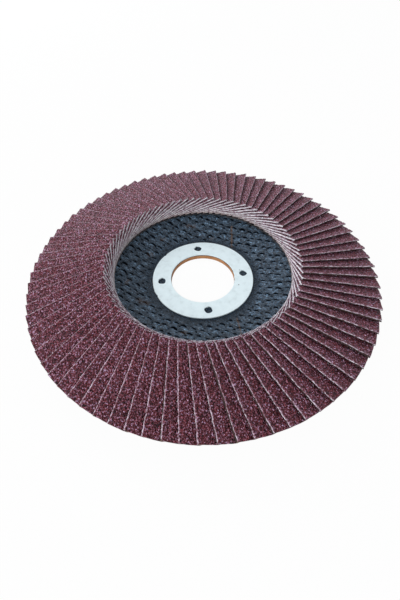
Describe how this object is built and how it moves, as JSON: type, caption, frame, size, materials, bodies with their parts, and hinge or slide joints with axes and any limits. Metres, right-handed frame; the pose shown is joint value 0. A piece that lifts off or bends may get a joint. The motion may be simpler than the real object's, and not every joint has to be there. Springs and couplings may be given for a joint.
{
  "type": "flap disc",
  "caption": "Conical flap disc: overlapping coated-cloth flaps fanned round a dished glass-cloth backing plate with a pierced steel ring at its bore.",
  "frame": {"origin": "on the bore axis, on the back face of the hub, which the disc lies on", "axes": "+Z along the bore axis, out of the abrasive side; +X is a radius of the disc"},
  "size_m": [0.115, 0.115, 0.0121],
  "materials": {
    "plate_laminate": "dark blue-black glass cloth in resin, with an open weave showing",
    "ring_steel": "zinc-plated, pale and slightly dull",
    "epoxy": "cured adhesive, dark and satin",
    "abrasive_cloth": "coarse maroon grit in resin on pale cloth"
  },
  "bodies": {
    "root": {"backing_plate": "plate_laminate", "centre_ring": "ring_steel", "adhesive_bed": "epoxy", "flap_set_01": "abrasive_cloth", "flap_set_02": "abrasive_cloth", "flap_set_03": "abrasive_cloth", "flap_set_04": "abrasive_cloth", "flap_set_05": "abrasive_cloth", "flap_set_06": "abrasive_cloth", "flap_set_07": "abrasive_cloth", "flap_set_08": "abrasive_cloth", "flap_set_09": "abrasive_cloth", "flap_set_10": "abrasive_cloth", "flap_set_11": "abrasive_cloth", "flap_set_12": "abrasive_cloth", "flap_set_13": "abrasive_cloth", "flap_set_14": "abrasive_cloth", "flap_set_15": "abrasive_cloth", "flap_set_16": "abrasive_cloth", "flap_set_17": "abrasive_cloth", "flap_set_18": "abrasive_cloth", "flap_set_19": "abrasive_cloth", "flap_set_20": "abrasive_cloth"}
  },
  "joints": []
}
